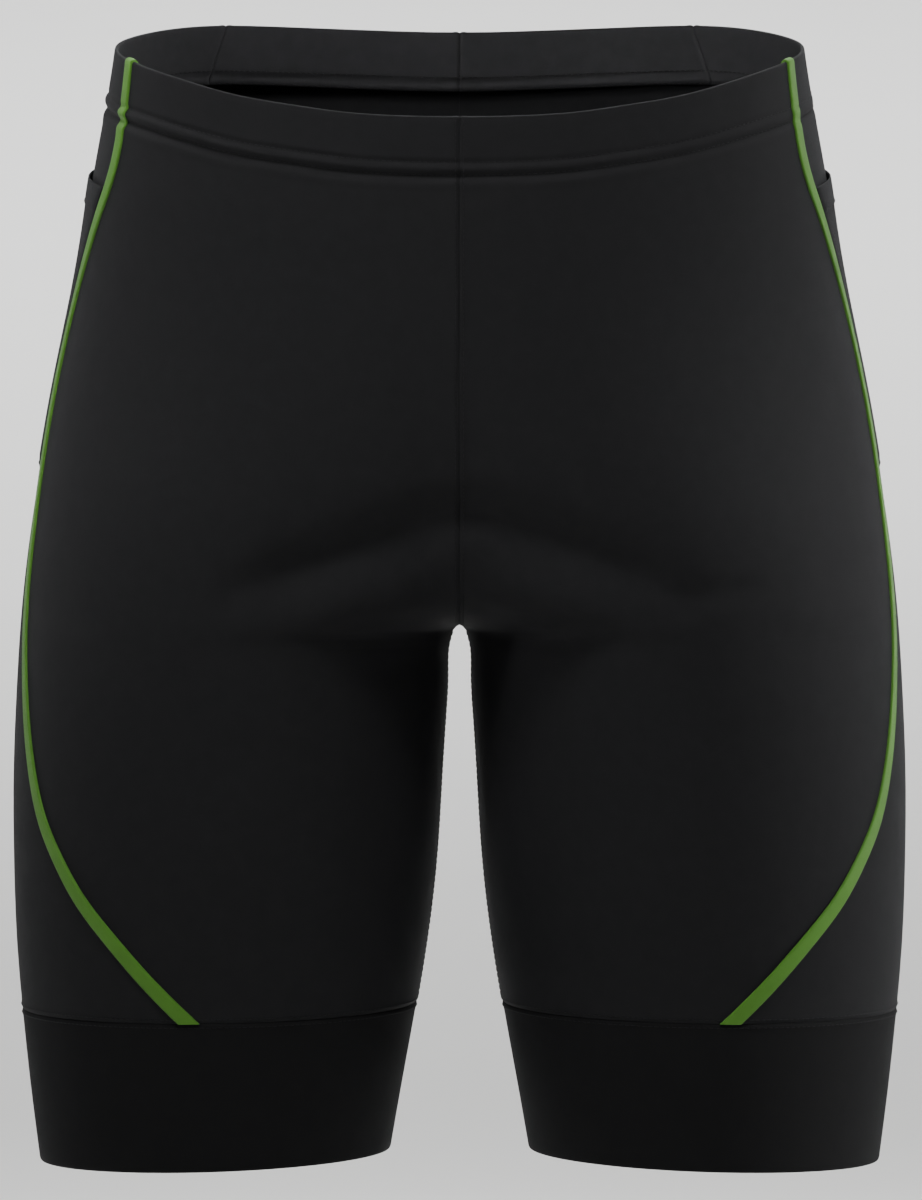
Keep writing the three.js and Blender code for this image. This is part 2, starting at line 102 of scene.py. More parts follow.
# face (-1 front, 1 back), start x z, pull point x z, end x z, depth, width
FOLDS = (
    (-1, -97, -226, -46, -212, 8, -190, -7, 12),
    (-1, -8, -190, 48, -205, 96, -230, -7, 12),
    (-1, -72, -238, -34, -222, -6, -228, 3.0, 10),
    (-1, 6, -228, 32, -222, 72, -240, 3.0, 10),
    (-1, 92, -238, 54, -243, 16, -248, -1.4, 9),
    (-1, 86, -229, 106, -227, 126, -224, -1.3, 6),
    (-1, -104, -262, -112, -330, -106, -402, -1.8, 18),
    (-1, 112, -270, 120, -330, 112, -395, -0.9, 22),
    (1, -96, -246, -56, -252, -14, -238, -2.6, 10),
    (1, 90, -243, 52, -251, 12, -236, -2.4, 10),
    (1, -130, -372, -96, -380, -58, -368, -1.4, 12),
    (1, 126, -378, 98, -384, 62, -376, -1.2, 12),
)
# finer creases that only the cloth shows, in the same columns
CREASES = (
    (-1, -70, -242, -40, -229, -12, -234, 0.7, 5),
    (-1, 74, -244, 42, -230, 14, -231, 0.7, 5),
    (-1, -46, -248, -26, -247, -8, -250, -0.8, 4),
    (-1, 50, -251, 28, -248, 8, -250, -0.8, 4),
    (-1, -126, -398, -100, -403, -70, -396, -0.5, 6),
    (-1, 130, -394, 104, -400, 78, -397, -0.4, 6),
    (1, -88, -226, -58, -232, -20, -222, -1.0, 6),
    (1, 84, -222, 50, -231, 16, -220, -0.9, 6),
    (1, -70, -264, -44, -270, -14, -259, -1.1, 6),
    (1, 78, -260, 46, -268, 18, -257, -1.0, 6),
    (1, -136, -352, -104, -362, -70, -352, -0.8, 7),
    (1, 134, -346, 102, -356, 72, -348, -0.9, 7),
    (1, -120, -398, -92, -402, -64, -396, -0.6, 6),
    (1, 126, -402, 98, -404, 70, -398, -0.6, 6),
    (1, -66, -35, -34, -39, -6, -36, -0.5, 6),
    (1, 62, -37, 34, -42, 8, -38, -0.5, 6),
)
# below the waist edge, height, width
CASING_LINES = ((19.4, -0.55, 1.1), (22.3, 0.8, 1.7), (25.7, -1.15, 1.7), (29.5, 0.3, 2.2))
# x, share of the casing line that shows
CASING_SHOWN = np.array(((-200, 0.6), (-130, 1.1), (20, 1.0), (75, 0.5), (200, 0.35)))


def spline(table, across=0, column=1):
    """Natural cubic spline through the rows of a table."""
    xs, ys = table[:, across].astype(float), table[:, column].astype(float)
    last = len(xs) - 1
    h = np.diff(xs)
    m = np.eye(last + 1)
    r = np.zeros(last + 1)
    for i in range(1, last):
        m[i, i - 1:i + 2] = h[i - 1], 2 * (h[i - 1] + h[i]), h[i]
        r[i] = 6 * ((ys[i + 1] - ys[i]) / h[i] - (ys[i] - ys[i - 1]) / h[i - 1])
    bend = np.linalg.solve(m, r)

    def value(x):
        x = np.asarray(x, float)
        i = np.clip(np.searchsorted(xs, x) - 1, 0, last - 1)
        u, v, step = xs[i + 1] - x, x - xs[i], h[i]
        arch = (bend[i] * u ** 3 + bend[i + 1] * v ** 3) / (6 * step)
        left, right = (ys[k] / step - bend[k] * step / 6 for k in (i, i + 1))
        return arch + left * u + right * v
    return value


out_at, mid_at, front_at, back_at, square_at = (spline(SECTIONS, 0, k) for k in range(1, 6))
inn_at, soft_at = spline(INNER, 0, 1), spline(INNER, 0, 2)
edge_curve = spline(WAIST_EDGE)
stripe_seam = spline(STRIPE_SEAM)
back_seam = spline(BACK_SEAM)
casing_share = spline(CASING_SHOWN)


def edge_at(turn):
    return edge_curve(np.clip(turn, -90, 90))


def to_flat(x, soft):
    """Distance from the middle plane, drawn together near it, which rounds the form there."""
    return np.sqrt(x * x + soft * soft) - soft


def from_flat(flat, soft):
    flat = np.maximum(flat, 0)
    return np.sqrt(flat * (flat + 2 * soft))


def signed_power(value, power):
    return np.sign(value) * np.abs(value) ** power


def section(z):
    soft = soft_at(z)
    middle = to_flat(np.maximum(mid_at(z), 0), soft)
    front, back = front_at(z), back_at(z)
    outer, inner = to_flat(out_at(z), soft) - middle, middle - inn_at(z)
    return soft, middle, outer, inner, (front + back) / 2, (back - front) / 2, square_at(z)


def form_point(z, turn):
    """Point of the plain form at a height and a turn: 0 is the outer side, 180 the inseam."""
    soft, middle, outer, inner, centre, depth, square = section(z)
    a = np.radians(turn)
    across = signed_power(np.cos(a), 2 / square)
    x = from_flat(middle + np.where(across > 0, outer, inner) * across, soft)
    y = centre + depth * signed_power(np.sin(a), 2 / square)
    return np.stack(np.broadcast_arrays(x, y, np.asarray(z, float)), -1)


def form_value(p):
    soft, middle, outer, inner, centre, depth, square = section(p[..., 2])
    flat = to_flat(p[..., 0], soft) - middle
    across = np.abs(flat / np.where(flat > 0, outer, inner)) ** square
    return across + np.abs((p[..., 1] - centre) / depth) ** square


def form_normal(p):
    g = np.stack([form_value(p + 0.2 * e) - form_value(p - 0.2 * e) for e in np.eye(3)], -1)
    return g / np.linalg.norm(g, axis=-1, keepdims=True)


def end_turn(z, away=0.0):
    """Turn at which the form is this far from the middle plane, or from the inseam on the leg."""
    soft, middle, _, inner, _, depth, square = section(z)
    seam = np.degrees(np.arcsin((np.abs(away) / depth) ** (square / 2)))
    ratio = (to_flat(away, soft) - middle) / inner
    turn = np.degrees(np.arccos(np.clip(signed_power(ratio, square / 2), -1, 1)))
    return np.where(ratio <= -1, 180 - seam, np.minimum(turn, 180 - seam))


FOLD_STEPS = 14            # straight stretches that a fold's curve is measured by


def fold_sum(folds, x, z, facing):
    """Height of folds at points of the front or back; a fold is smaller towards its two ends."""
    total = np.zeros_like(x)
    t = np.linspace(0, 1, FOLD_STEPS + 1)
    for face, x0, z0, x1, z1, x2, z2, depth, width in folds:
        bx = (1 - t) ** 2 * x0 + 2 * t * (1 - t) * x1 + t * t * x2
        bz = (1 - t) ** 2 * z0 + 2 * t * (1 - t) * z1 + t * t * z2
        near = np.full(x.shape, 1e9)
        place = np.zeros_like(x)
        for k in range(FOLD_STEPS):
            dx, dz = bx[k + 1] - bx[k], bz[k + 1] - bz[k]
            along = np.clip(((x - bx[k]) * dx + (z - bz[k]) * dz) / (dx * dx + dz * dz), 0, 1)
            away = (x - bx[k] - along * dx) ** 2 + (z - bz[k] - along * dz) ** 2
            place = np.where(away < near, (k + along) / FOLD_STEPS, place)
            near = np.minimum(near, away)
        grown = np.minimum(1, 0.35 + 2.6 * np.minimum(place, 1 - place))
        profile = np.exp(-near / (width * (0.5 + 0.5 * grown)) ** 2)
        total += depth * grown * profile * np.clip(facing * face * 2 + 0.2, 0, 1)
    return total


def cloth(z, turn, side):
    """Points of the worn cloth's outer face with their normals; side 1 is the wearer's left."""
    p = form_point(z, turn)
    n = form_normal(p)
    x = side * p[..., 0]
    height = fold_sum(FOLDS + CREASES, x, p[..., 2], n[..., 1])
    below = edge_at(turn) - p[..., 2]
    for line, depth, width in CASING_LINES:
        height = height + depth * np.exp(-((below - line) / width) ** 2) * casing_share(x)
    q = p + n * height[..., None]
    q[..., 0] = np.maximum(q[..., 0], 0)
    flip = np.array((side, 1, 1))
    return q * flip, n * flip


# A row says where a line of points runs round the body: its height on the side, the share of the
# edge's dip, the tilt, the heights at the front and back ends, and the angle of the waist fold.
def edge_rows(below, fold=0.0):
    below = np.atleast_1d(np.asarray(below, float))
    fold = np.broadcast_to(fold, below.shape)
    one = np.ones_like(below)
    return np.stack([-below, one, 0 * one, edge_at(-90) - below, edge_at(90) - below, fold], -1)


def rise_levels(direction, shares):
    top = float(edge_at(90 * direction)) - POCKET_BELOW
    z = top + (APEX - top) * (1 - (1 - np.linspace(0, 1, 3001)) ** 2)
    p = form_point(z, direction * end_turn(z, 0.15))
    length = np.concatenate([[0], np.cumsum(np.linalg.norm(np.diff(p, axis=0), axis=1))])
    return np.interp(length[-1] * shares, length, z)


FINE = 8                   # steps of the lower table in each row


def make_lower_table():
    """Rows from the pocket mouth to the cuff seam, in steps finer than those of the solids."""
    i = np.arange(APEX_ROW * FINE + 1) / FINE
    pocket = -POCKET_BELOW + (POCKET_BOTTOM + POCKET_BELOW) * i / POCKET_ROWS
    seat = POCKET_BOTTOM + (SIDE_AT_APEX - POCKET_BOTTOM) * (i - POCKET_ROWS) / SEAT_ROWS
    side = np.where(i <= POCKET_ROWS, pocket, seat)
    beyond = RISE_AT_POCKET + (1 - RISE_AT_POCKET) * (i - POCKET_ROWS) / SEAT_ROWS
    shares = np.where(i <= POCKET_ROWS, RISE_AT_POCKET * i / POCKET_ROWS, beyond)
    front, back = rise_levels(-1, shares), rise_levels(1, shares)
    upper = np.stack([side, 1 - i / APEX_ROW, 0 * i, front, back, 0 * i], -1)
    k = np.arange(1, LEG_ROWS * FINE + 1) / (LEG_ROWS * FINE)
    end = APEX + (CUFF_SEAM - APEX) * k
    leg_side = SIDE_AT_APEX + (CUFF_SEAM - SIDE_AT_APEX) * k
    leg = np.stack([leg_side, 0 * k, CUFF_SEAM_TILT * k, end, end, 0 * k], -1)
    return np.concatenate([upper, leg])


LOWER = make_lower_table()


def lower_rows(index):
    """Rows under the pocket mouth (0), through the crotch point (APEX_ROW), to the cuff seam."""
    at = np.atleast_1d(np.asarray(index, float)) * FINE
    return np.stack([np.interp(at, np.arange(len(LOWER)), LOWER[:, k]) for k in range(6)], -1)


def turn_for_width(z, seam, width):
    here = form_point(z, seam(z))
    across = np.linalg.norm(form_point(z, seam(z) + 0.5) - here, axis=-1) / 0.5
    slope = across * (seam(z + 0.5) - seam(z - 0.5))
    return width * np.sqrt(1 + slope ** 2) / across


def beside(seam, direction):
    """Turn at a distance from a seam, on the side that the direction gives."""
    return lambda z, w: seam(z) + direction * turn_for_width(z, seam, w)


# facing, turn at a distance from the panel's first seam, turn at a distance from its second
PANELS = {
    "front": (-1, beside(stripe_seam, -1), lambda z, w: -end_turn(z, w)),
    "side": (0, beside(stripe_seam, 1), beside(back_seam, -1)),
    "back": (1, beside(back_seam, 1), end_turn),
}


def columns(near, far, count):
    """Columns of a panel: near and far are distances from its two seams in mm, count the rest."""
    a, b = near[-1], far[-1]
    spec = [(w, b, 0.0) for w in near]
    spec += [(a, b, k / count) for k in range(1, count)]
    spec += [(a, w, 1.0) for w in reversed(far)]
    return np.array(spec)


def locate(panel, rows, spec):
    """Heights and turns of a panel's rows and columns."""
    direction, near, far = PANELS[panel]
    w0, w1, share = spec[None, :, 0], spec[None, :, 1], spec[None, :, 2]
    side, dip, tilt, front, back = (rows[:, k:k + 1] for k in range(5))
    z = side + 0 * share
    for _ in range(8):
        turn = near(z, w0) * (1 - share) + far(z, w1) * share
        level = edge_at(turn) * dip + tilt * np.cos(np.radians(turn))
        if direction:
            start, end = near(z, 0.0), direction * end_turn(z, 0.0)
            part = np.clip((turn - start) / (end - start), 0, 1)
            drop = (front if direction < 0 else back) - side - edge_at(90 * direction) * dip
            level = level + drop * part ** 2
        z = side + level
    turn = near(z, w0) * (1 - share) + far(z, w1) * share
    return z, turn


def spots(z, turn, side, fold):
    """Centres and directions: a point e over the cloth is centre + (FOLD + e) * direction."""
    p, n = cloth(z, turn, side)
    hi, _ = cloth(z + 0.5, turn, side)
    lo, _ = cloth(z - 0.5, turn, side)
    up = hi - lo
    up -= n * np.sum(up * n, -1, keepdims=True)
    up /= np.linalg.norm(up, axis=-1, keepdims=True)
    angle = fold[:, None, None] if fold.ndim == 1 else fold[..., None]
    return p - FOLD * n, np.cos(angle) * n + np.sin(angle) * up


def at_height(centres, directions, e):
    return centres + (FOLD + np.asarray(e)[..., None]) * directions


def cloth_uv(grid, edge):
    """Lengths across and along a grid of points, in metres, with 0 along at the edge row."""
    across = np.linalg.norm(np.diff(grid, axis=1), axis=-1)
    across = np.concatenate([np.zeros((len(grid), 1)), np.cumsum(across, 1)], 1)
    across -= across[:, grid.shape[1] // 2][:, None]
    along = np.linalg.norm(np.diff(grid, axis=0), axis=-1)
    along = np.concatenate([np.zeros((1, grid.shape[1])), np.cumsum(along, 0)])
    along = along.mean(1)
    along = np.repeat((along - along[edge])[:, None], grid.shape[1], 1)
    return np.stack([across, along], -1) / 1000


def sheet_mesh(name, outer, inner, material, node, wrap=False, edge=-1):
    """A closed thin shell between two grids of points in mm; rows past the edge are turned in."""
    rows, cols = outer.shape[:2]
    uv = cloth_uv(outer, edge)
    if wrap:
        outer, inner = outer[:, :-1], inner[:, :-1]
    span = cols - 1 if wrap else cols
    verts = np.concatenate([outer.reshape(-1, 3), inner.reshape(-1, 3)]) / 1000
    i, j = np.meshgrid(np.arange(rows - 1), np.arange(cols - 1), indexing="ij")
    k = (j + 1) % span if wrap else j + 1

    def ids(layer, r, c):
        return (layer * rows * span + r * span + c).ravel()

    def uvs(r, c):
        return uv[r.ravel(), c.ravel()]
    a = np.stack([ids(0, i, j), ids(0, i + 1, j), ids(0, i + 1, k), ids(0, i, k)], -1)
    b = np.stack([ids(1, i, j), ids(1, i, k), ids(1, i + 1, k), ids(1, i + 1, j)], -1)
    ua = np.stack([uvs(i, j), uvs(i + 1, j), uvs(i + 1, j + 1), uvs(i, j + 1)], 1)
    ub = np.stack([uvs(i, j), uvs(i, j + 1), uvs(i + 1, j + 1), uvs(i + 1, j)], 1)
    faces, face_uv = [a, b], [ua, ub]
    j0 = np.arange(cols - 1)
    k0 = (j0 + 1) % span if wrap else j0 + 1
    for r, turned in ((0, False), (rows - 1, True)):
        rr = np.full_like(j0, r)
        quad = [ids(0, rr, j0), ids(0, rr, k0), ids(1, rr, k0), ids(1, rr, j0)]
        maps = [uvs(rr, j0), uvs(rr, j0 + 1), uvs(rr, j0 + 1), uvs(rr, j0)]
        if turned:
            quad, maps = quad[::-1], maps[::-1]
        faces.append(np.stack(quad, -1))
        face_uv.append(np.stack(maps, 1))
    if not wrap:
        i0 = np.arange(rows - 1)
        for c, turned in ((0, True), (cols - 1, False)):
            cc = np.full_like(i0, c)
            quad = [ids(0, i0, cc), ids(0, i0 + 1, cc), ids(1, i0 + 1, cc), ids(1, i0, cc)]
            maps = [uvs(i0, cc), uvs(i0 + 1, cc), uvs(i0 + 1, cc), uvs(i0, cc)]
            if turned:
                quad, maps = quad[::-1], maps[::-1]
            faces.append(np.stack(quad, -1))
            face_uv.append(np.stack(maps, 1))
    obj = make_piece(name, verts, np.concatenate(faces), material, np.concatenate(face_uv))
    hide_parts(node)
    return obj


def make_piece(name, verts, faces, material, face_uv=None):
    """A piece of four-sided faces, turned so that they face outwards."""
    corner = verts[faces]
    area = np.cross(corner[:, 2] - corner[:, 0], corner[:, 3] - corner[:, 1])
    if np.sum(np.mean(corner, 1) * area) < 0:
        faces = faces[:, ::-1]
        face_uv = face_uv[:, ::-1] if face_uv is not None else None
    mesh = bpy.data.meshes.new(name)
    mesh.from_pydata(verts.tolist(), [], faces.tolist())
    if face_uv is not None:
        layer = mesh.uv_layers.new(name="cloth")
        layer.data.foreach_set("uv", face_uv.reshape(-1))
    mesh.polygons.foreach_set("use_smooth", np.ones(len(faces), bool))
    mesh.materials.append(material)
    mesh.update()
    obj = bpy.data.objects.new(name, mesh)
    bpy.context.scene.collection.objects.link(obj)
    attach(obj, "root")
    return obj


# Materials

KNIT_RELIEF = 0.00012      # metres between the top and the bottom of a loop
FLAP_FROM = 0.0012         # metres past the edge row from which the turned-in flap shows and gets its painted light


def new_material(name):
    material = bpy.data.materials.new(name)
    material.use_nodes = True
    tree = material.node_tree
    shader = tree.nodes["Principled BSDF"]
    return material, tree, shader


def math_node(tree, kind, a, b=None, c=None):
    node = tree.nodes.new("ShaderNodeMath")
    node.operation = kind
    for socket, value in zip(node.inputs, (a, b, c)):
        if value is None:
            continue
        if isinstance(value, (int, float)):
            socket.default_value = value
        else:
            tree.links.new(value, socket)
    return node.outputs[0]


def mix_colour(tree, share, a, b):
    """Mix of two colours, each a row of three numbers or another node's output."""
    node = tree.nodes.new("ShaderNodeMix")
    node.data_type = "RGBA"
    tree.links.new(share, node.inputs["Factor"])
    for socket, colour in ((node.inputs["A"], a), (node.inputs["B"], b)):
        if isinstance(colour, tuple):
            socket.default_value = (*colour, 1)
        else:
            tree.links.new(colour, socket)
    return node.outputs["Result"]


def noise(tree, vector, scale, detail=3.0, rough=0.55):
    node = tree.nodes.new("ShaderNodeTexNoise")
    node.inputs["Scale"].default_value = scale
    node.inputs["Detail"].default_value = detail
    node.inputs["Roughness"].default_value = rough
    tree.links.new(vector, node.inputs["Vector"])
    return node.outputs["Fac"]


def knit_material(name, dark, light, wale, course, relief, rough, sheen, specular):
    """Fine jersey knit: rows of small slanted loops in the cloth's own lengths.

    A wale is the width of a column of loops and a course the height of a row, in metres."""
    material, tree, shader = new_material(name)
    uv = tree.nodes.new("ShaderNodeUVMap")
    uv.uv_map = "cloth"
    split = tree.nodes.new("ShaderNodeSeparateXYZ")
    tree.links.new(uv.outputs["UV"], split.inputs[0])
    u, v = split.outputs[0], split.outputs[1]
    wobble = noise(tree, uv.outputs["UV"], 900, 2)
    bent = math_node(tree, "MULTIPLY", wobble, 0.5)
    across = math_node(tree, "ADD", math_node(tree, "MULTIPLY", u, 1 / wale), bent)
    column = math_node(tree, "PINGPONG", across, 0.5)
    slant = math_node(tree, "MULTIPLY", column, 1.3)
    down = math_node(tree, "ADD", math_node(tree, "MULTIPLY", v, 1 / course), slant)
    loops = math_node(tree, "SINE", math_node(tree, "MULTIPLY", down, 2 * math.pi))
    ridge = math_node(tree, "SINE", math_node(tree, "MULTIPLY", column, 2 * math.pi))
    knit = math_node(tree, "MULTIPLY_ADD", loops, 0.35, ridge)
    coords = tree.nodes.new("ShaderNodeTexCoord").outputs["Object"]
    broad = math_node(tree, "MULTIPLY", noise(tree, coords, 45, 3), 0.6)
    height = math_node(tree, "ADD", math_node(tree, "MULTIPLY", knit, 0.5), broad)
    bump = tree.nodes.new("ShaderNodeBump")
    bump.inputs["Strength"].default_value = relief
    bump.inputs["Distance"].default_value = KNIT_RELIEF
    tree.links.new(height, bump.inputs["Height"])
    tree.links.new(bump.outputs[0], shader.inputs["Normal"])
    patchy = math_node(tree, "MULTIPLY_ADD", noise(tree, coords, 160, 4), 0.7, 0.1)
    tone = math_node(tree, "MULTIPLY_ADD", knit, 0.18, patchy)
    face = mix_colour(tree, tone, dark, light)
    # painted light: the turned-in flap gets a lighter copy of the knit's colours, standing in for
    # the light that falls on the inside of the back
    painted_lit_lining = mix_colour(tree, tone, *(tuple(LINING_PAINTED_LIGHT * c for c in end) for end in (dark, light)))
    turned_in = math_node(tree, "GREATER_THAN", v, FLAP_FROM)
    tree.links.new(mix_colour(tree, turned_in, face, painted_lit_lining), shader.inputs["Base Color"])
    gloss = math_node(tree, "MULTIPLY_ADD", noise(tree, coords, 70, 3), 0.12, rough - 0.06)
    tree.links.new(gloss, shader.inputs["Roughness"])
    shader.inputs["Specular IOR Level"].default_value = specular
    shader.inputs["Sheen Weight"].default_value = sheen
    shader.inputs["Sheen Roughness"].default_value = 0.4
    shader.inputs["Sheen Tint"].default_value = (0.85, 0.88, 0.95, 1)
    return material


def thread_material(name, dark, light, shine):
    material, tree, shader = new_material(name)
    coords = tree.nodes.new("ShaderNodeTexCoord").outputs["Object"]
    tone = noise(tree, coords, 1500, 2)
    tree.links.new(mix_colour(tree, tone, dark, light), shader.inputs["Base Color"])
    shader.inputs["Roughness"].default_value = 0.5
    shader.inputs["Specular IOR Level"].default_value = shine
    return material


BLACK = knit_material(
    "black_knit", (0.0062, 0.0062, 0.0066), (0.0118, 0.0118, 0.0125),
    wale=0.00052, course=0.00044, relief=0.5, rough=0.62, sheen=0.015, specular=0.03)
CUFF = knit_material(
    "cuff_knit", (0.0042, 0.0042, 0.0044), (0.008, 0.008, 0.0083),
    wale=0.0008, course=0.0006, relief=0.6, rough=0.72, sheen=0.01, specular=0.03)
GREEN = knit_material(
    "green_strip", (0.033, 0.097, 0.0075), (0.050, 0.140, 0.0135),
    wale=0.0006, course=0.0005, relief=0.45, rough=0.6, sheen=0.05, specular=0.15)
THREAD = thread_material("black_thread", (0.006, 0.006, 0.0065), (0.013, 0.013, 0.0135), 0.06)
GREEN_THREAD = thread_material("green_thread", (0.034, 0.105, 0.008), (0.052, 0.155, 0.014), 0.2)

# Panels

SEAM_STEPS = (0.0, 0.35, 0.8, 1.4, 2.2, 3.3)   # columns or rows beside a seam, in mm from it


def seam_relief(w):
    """Height of the cloth beside a flat seam: a fine groove between two low ridges."""
    return -0.32 * np.exp(-(w / 0.45) ** 2) + 0.22 * np.exp(-((w - 1.7) / 1.1) ** 2)


def body_rows():
    """A panel's rows from the cuff seam up, over the waist edge and down the flap inside."""
    near_cuff = SEAM_ROW - np.array(SEAM_STEPS) * LEG_ROWS / LEG_LENGTH
    leg = np.linspace(SEAM_ROW - 0.4, APEX_ROW, 54)[:-1]
    seat = np.linspace(APEX_ROW, POCKET_ROWS, 33)[:-1]
    pocket_part = np.linspace(POCKET_ROWS, 0, 46)[:-1]
    lower = lower_rows(np.concatenate([near_cuff, leg, seat, pocket_part]))
    below = np.concatenate([np.arange(POCKET_BELOW, 34, -3), np.arange(33.5, 16.5, -0.6),
                            np.arange(16, 2, -2), [FOLD]])
    over = np.radians(np.arange(22.5, 180, 22.5))
    flap = np.concatenate([[FOLD], np.arange(3, CASING - 0.5, 2.5), [CASING]])
    rows = np.concatenate([lower, edge_rows(below), edge_rows(np.full(len(over), FOLD), over),
                           edge_rows(flap, math.pi)])
    from_seam = np.full(len(rows), NO_SEAM)
    from_seam[:len(SEAM_STEPS)] = SEAM_STEPS
    return rows, from_seam


BODY_ROWS, FROM_CUFF = body_rows()
EDGE_ROW = int(np.searchsorted(BODY_ROWS[:, 5], math.radians(90)))
PANEL_COLUMNS = {
    "front": columns(SEAM_STEPS, SEAM_STEPS, 58),
    "side": columns(SEAM_STEPS, SEAM_STEPS, 36),
    "back": columns(SEAM_STEPS, SEAM_STEPS, 62),
}


def panel(kind, word, side):
    spec = PANEL_COLUMNS[kind]
    z, turn = locate(kind, BODY_ROWS, spec)
    c, d = spots(z, turn, side, BODY_ROWS[:, 5])
    wide = np.where(spec[:, 2] == 0, spec[:, 0], np.where(spec[:, 2] == 1, spec[:, 1], NO_SEAM))
    relief = seam_relief(wide)[None, :] + seam_relief(FROM_CUFF)[:, None]
    outer = at_height(c, d, relief)
    inner = at_height(c, d, np.full(outer.shape[:2], -SHEET))
    name = f"{kind}_{word}"
    obj = sheet_mesh(name + "_cloth", outer, inner, BLACK, name, edge=EDGE_ROW)
    return obj, outer


CUFF_DEPTH = 64.7
CUFF_SHEET = 1.1           # thickness of the leg band's cloth


def cuff(word, side):
    """Leg band: one ring from the cuff seam to the hem, with a rounded lower edge."""
    down = np.concatenate([SEAM_STEPS, np.linspace(5, 63.2, 24), [64.0, 64.45, CUFF_DEPTH]])
    share = down / CUFF_DEPTH
    centre = CUFF_SEAM + (HEM - CUFF_SEAM) * share
    tilt = CUFF_SEAM_TILT + (HEM_TILT - CUFF_SEAM_TILT) * share
    turn = np.linspace(180, -180, 181)[None, :] + 0 * share[:, None]
    z = centre[:, None] + tilt[:, None] * np.cos(np.radians(turn))
    c, d = spots(z, turn, side, np.zeros(len(down)))
    relief = seam_relief(down)
    thick = np.full(len(down), CUFF_SHEET)
    relief[-3:] = -0.1, -0.26, -0.5
    thick[-3:] = 0.9, 0.58, 0.1
    relief = np.repeat(relief[:, None], turn.shape[1], 1)
    outer = at_height(c, d, relief)
    inner = at_height(c, d, relief - thick[:, None])
    name = f"cuff_{word}"
    return sheet_mesh(name + "_cloth", outer, inner, CUFF, name, wrap=True), outer


# distance from the seam, height over the cloth
TAPE = np.array((
    (-3.2, 0.1), (-3.16, 0.75), (-2.98, 1.0), (-2.2, 1.11), (0, 1.15),
    (2.2, 1.11), (2.98, 1.0), (3.16, 0.75), (3.2, 0.1),
))
TAPE_FRONT = 4             # columns of the tape that lie on the front panel
TAPE_UNDER = -0.1          # height of the tape's lower face


def strip(word, side):
    """Green strip over the seam between front and side, turned in over the waist edge."""
    wide, dome = TAPE.T
    last = SEAM_STEPS[-1]
    on_front = locate("front", BODY_ROWS, np.array([(-w, last, 0.0) for w in wide[:TAPE_FRONT]]))
    on_side = locate("side", BODY_ROWS, np.array([(w, last, 0.0) for w in wide[TAPE_FRONT:]]))
    z, turn = (np.concatenate(both, 1) for both in zip(on_front, on_side))
    c, d = spots(z, turn, side, BODY_ROWS[:, 5])
    tall = np.repeat(dome[None, :], len(BODY_ROWS), 0)
    outer = at_height(c, d, tall)
    inner = at_height(c, d, np.full(tall.shape, TAPE_UNDER))
    name = f"stripe_{word}"
    sheet_mesh(name + "_tape", outer, inner, GREEN, name)


# distances of the pocket's columns from the panel's first and second seams
POCKET_NEAR, POCKET_FAR = (3.45, 3.7, 4.2, 5.0, 6.2), (0.4, 0.8, 1.4, 2.2, 3.3)
POCKET_HEM = 11.5          # depth of the hem at the mouth
POCKET_LENGTH = POCKET_ROWS * POCKET_ROW_STEP
POCKET_SHEET = 0.5
# lines of points with their directions, for the pockets' stitches
pocket_lines = {"left": [], "right": []}


def pocket(word, side):
    """Patch pocket on the side panel: caught in both seams, its hemmed mouth a little open."""
    mouth = np.array((0.0, 0.12, 0.4, 0.9)) / POCKET_ROW_STEP
    hem = np.array((10.8, 11.3, 11.8, 12.4)) / POCKET_ROW_STEP
    index = np.concatenate([mouth, np.arange(0.14, 0.76, 0.12), hem,
                            np.arange(1.05, 8.85, 0.2), [8.9, 8.95, POCKET_ROWS]])
    rows = lower_rows(index)
    spec = columns(POCKET_NEAR, POCKET_FAR, 30)
    z, turn = locate("side", rows, spec)
    c, d = spots(z, turn, side, rows[:, 5])
    down = index * POCKET_ROW_STEP
    share = np.linspace(0, 1, len(spec))
    from_near = (spec[:, 0] - POCKET_NEAR[0]) / 2.5 + spec[:, 2] * 9
    from_far = (spec[:, 1] - POCKET_FAR[0]) / 2.5 + (1 - spec[:, 2]) * 9
    raised = np.sqrt(np.clip(np.minimum(from_near, from_far), 0, 1))
    lie = 0.35 + 0.75 * raised * np.clip((POCKET_LENGTH - down) / 3, 0, 1)[:, None]
    gape = POCKET_GAPE * np.sin(np.pi * share) ** 0.8 * np.exp(-(down / 22) ** 2)[:, None]
    hemmed = 0.4 / (1 + np.exp((down - POCKET_HEM) / 0.25))[:, None]
    rim = -0.3 * np.exp(-(down / 0.25) ** 2)[:, None]
    outer = at_height(c, d, lie + gape + hemmed + rim)
    inner = at_height(c, d, lie + gape - POCKET_SHEET - rim)
    for row in (np.searchsorted(down, POCKET_HEM - 1.1), len(down) - 3):
        pocket_lines[word].append((outer[row, 3:-3], d[row, 3:-3]))
    name = f"pocket_{word}"
    return sheet_mesh(name + "_cloth", outer, inner, BLACK, name), outer


def ring_grid(rows):
    """Points right round the waist, from the back middle over the left side, front and right."""
    halves = []
    for _, side in SIDES:
        parts = []
        for kind, count in (("back", 18), ("side", 14), ("front", 20)):
            z, turn = locate(kind, rows, columns((0.0,), (0.0,), count))
            grids = spots(z, turn, side, rows[:, 5])
            if kind != "front":
                grids = [grid[:, :0:-1] for grid in grids]
            parts.append(grids)
        halves.append([np.concatenate(grids, 1) for grids in zip(*parts)])
    return [np.concatenate([left, right[:, -2::-1]], 1) for left, right in zip(*halves)]


def elastic():
    """The elastic that lies between the cloth and its turned-in flap."""
    rows = edge_rows(np.concatenate([[1.6, 1.9], np.arange(4, 23, 3), [23.6, 24.0]]))
    c, d = ring_grid(rows)
    mid = np.full(c.shape[:2], -FOLD)
    half = np.full(len(rows), 0.27)
    half[[0, -1]] = 0.1
    outer, inner = (at_height(c, d, mid + face * half[:, None]) for face in (1, -1))
    obj = sheet_mesh("waist_elastic", outer, inner, BLACK, "waist_casing", wrap=True)
    return obj, outer


